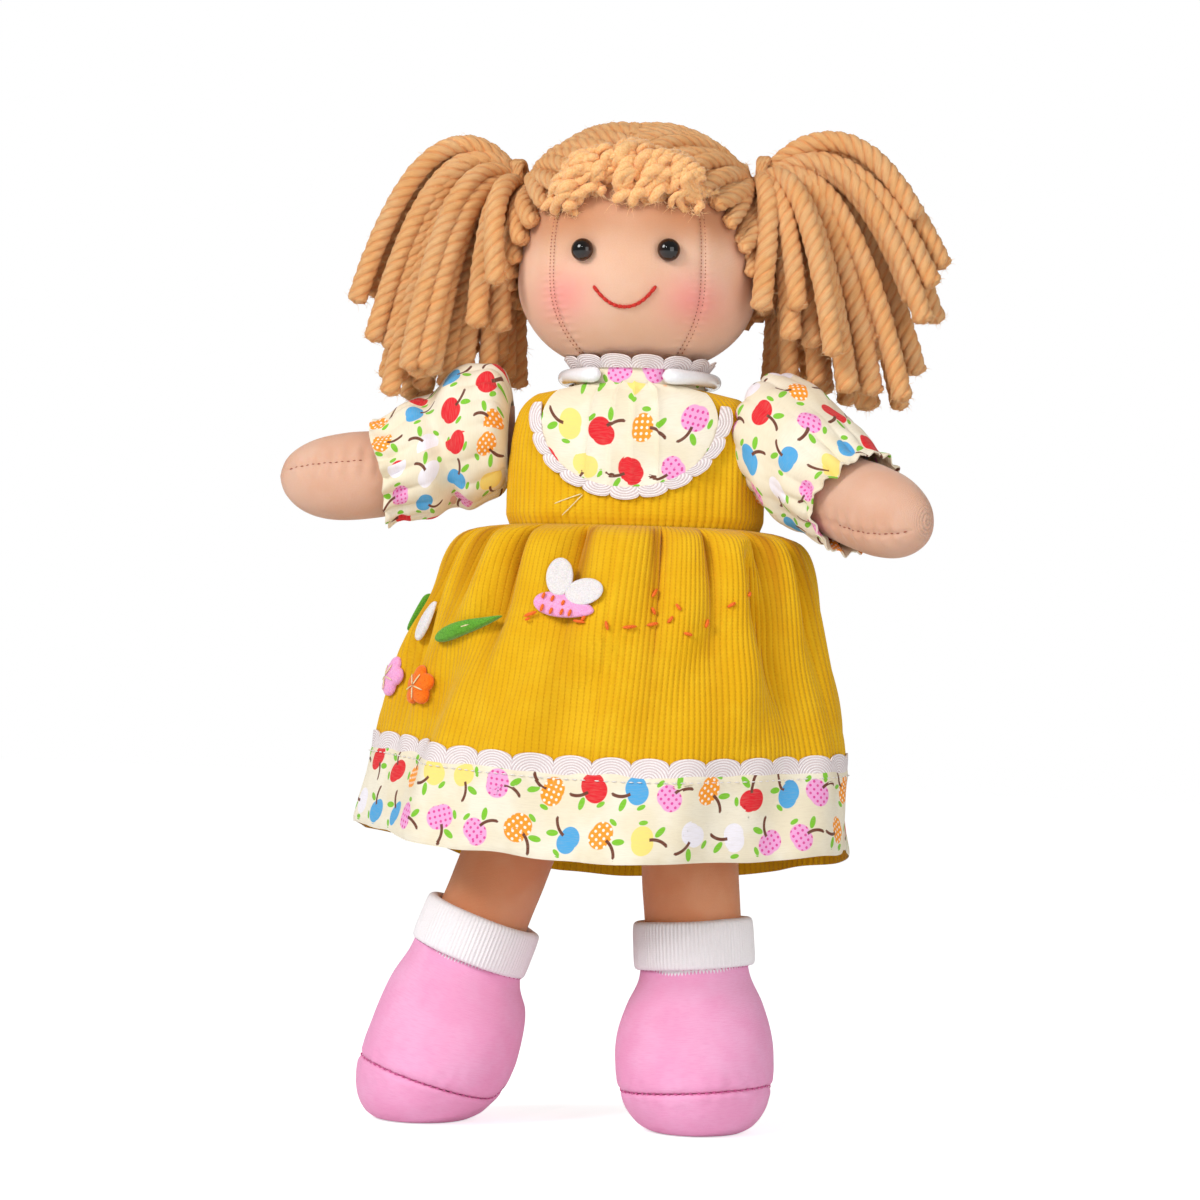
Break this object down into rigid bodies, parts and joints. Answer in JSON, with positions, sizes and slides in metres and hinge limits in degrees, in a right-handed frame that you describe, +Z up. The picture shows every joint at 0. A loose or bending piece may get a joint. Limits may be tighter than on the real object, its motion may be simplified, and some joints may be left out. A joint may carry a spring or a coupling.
{
  "type": "rag doll",
  "caption": "Stuffed cloth rag doll with wool hair in two side bunches, a corduroy dress, ribbed socks and rounded cloth feet.",
  "frame": {"origin": "on the floor under the soles, at the centre of the doll's bounding box", "axes": "+Z up, the doll faces -Y, and its own left hand is at +X"},
  "size_m": [0.2345, 0.1258, 0.3408],
  "materials": {
    "skin_jersey": "matte knitted jersey",
    "yellow_corduroy": "ribbed corduroy",
    "fruit_print": "printed plain-weave cotton",
    "white_lace": "scalloped braid",
    "peach_wool": "plied chunky wool",
    "pink_cotton": "plain-weave cotton",
    "white_rib_knit": "fine rib knit",
    "black_plastic": "polished",
    "white_plastic": "glossy",
    "red_thread": "embroidery thread",
    "orange_thread": "embroidery thread",
    "pink_felt": "felt",
    "white_felt": "felt",
    "green_felt": "felt",
    "orange_felt": "felt"
  },
  "bodies": {
    "body": {"torso": "skin_jersey", "bodice": "yellow_corduroy", "bib": "fruit_print", "bib_lace": "white_lace", "back_fastener_tape": "white_rib_knit", "back_placket": "yellow_corduroy", "collar_band": "fruit_print", "collar_frill": "white_lace", "neck_clip": "white_plastic", "skirt": "yellow_corduroy", "hem_band": "fruit_print", "hem_lace": "white_lace", "bee_body": "pink_felt", "bee_wings": "white_felt", "flight_thread": "orange_thread", "leaf_long": "green_felt", "leaf_short": "green_felt", "petal_white": "white_felt", "flower_orange": "orange_felt", "flower_pink": "pink_felt"},
    "neck": {"neck": "skin_jersey"},
    "head": {"head": "skin_jersey", "mouth_stitch": "red_thread", "hair_cap": "peach_wool", "fringe": "peach_wool", "eye_left": "black_plastic", "eye_washer_left": "white_plastic", "eye_right": "black_plastic", "eye_washer_right": "white_plastic"},
    "bunch_left": {"bunch_left": "peach_wool", "hair_tie_left": "peach_wool"},
    "bunch_right": {"bunch_right": "peach_wool", "hair_tie_right": "peach_wool"},
    "arm_left": {"arm_left": "skin_jersey", "sleeve_left": "fruit_print"},
    "arm_right": {"arm_right": "skin_jersey", "sleeve_right": "fruit_print"},
    "leg_left": {"leg_left": "skin_jersey", "sock_left": "white_rib_knit", "shoe_left": "pink_cotton", "sole_left": "pink_cotton"},
    "leg_right": {"leg_right": "skin_jersey", "sock_right": "white_rib_knit", "shoe_right": "pink_cotton", "sole_right": "pink_cotton"}
  },
  "joints": [
    {"name": "neck_nod", "type": "hinge", "parent": "body", "child": "neck", "pos_m": [0.00574, -0.0009, 0.251], "axis": [1, 0, 0], "range_deg": [-4, 6], "deforming": ["collar_band", "collar_frill"]},
    {"name": "head_turn", "type": "hinge", "parent": "neck", "child": "head", "pos_m": [0.00574, -0.0009, 0.251], "axis": [0, 0, 1], "range_deg": [-60, 60], "deforming": ["collar_band", "collar_frill"]},
    {"name": "bunch_left_swing", "type": "hinge", "parent": "head", "child": "bunch_left", "pos_m": [0.04553, 0.0051, 0.32411], "axis": [0, -1, 0], "range_deg": [0, 40]},
    {"name": "bunch_right_swing", "type": "hinge", "parent": "head", "child": "bunch_right", "pos_m": [-0.03927, 0.0051, 0.32162], "axis": [0, 1, 0], "range_deg": [0, 40]},
    {"name": "shoulder_left", "type": "hinge", "parent": "body", "child": "arm_left", "pos_m": [0.04934, -0.0009, 0.231], "axis": [0, 0, -1], "range_deg": [-65, 25], "deforming": ["sleeve_left"]},
    {"name": "shoulder_right", "type": "hinge", "parent": "body", "child": "arm_right", "pos_m": [-0.03786, -0.0009, 0.231], "axis": [0, 0, 1], "range_deg": [-27, 63], "deforming": ["sleeve_right"]},
    {"name": "hip_left", "type": "hinge", "parent": "body", "child": "leg_left", "pos_m": [0.02424, -0.0009, 0.148], "axis": [-1, 0, 0], "range_deg": [-35, 85], "deforming": ["skirt", "hem_band", "hem_lace", "bee_body", "bee_wings", "flight_thread", "leaf_long", "leaf_short", "petal_white", "flower_orange", "flower_pink"]},
    {"name": "hip_right", "type": "hinge", "parent": "body", "child": "leg_right", "pos_m": [-0.01276, -0.0009, 0.148], "axis": [-1, 0, 0], "range_deg": [-35, 85], "deforming": ["skirt", "hem_band", "hem_lace"]}
  ]
}
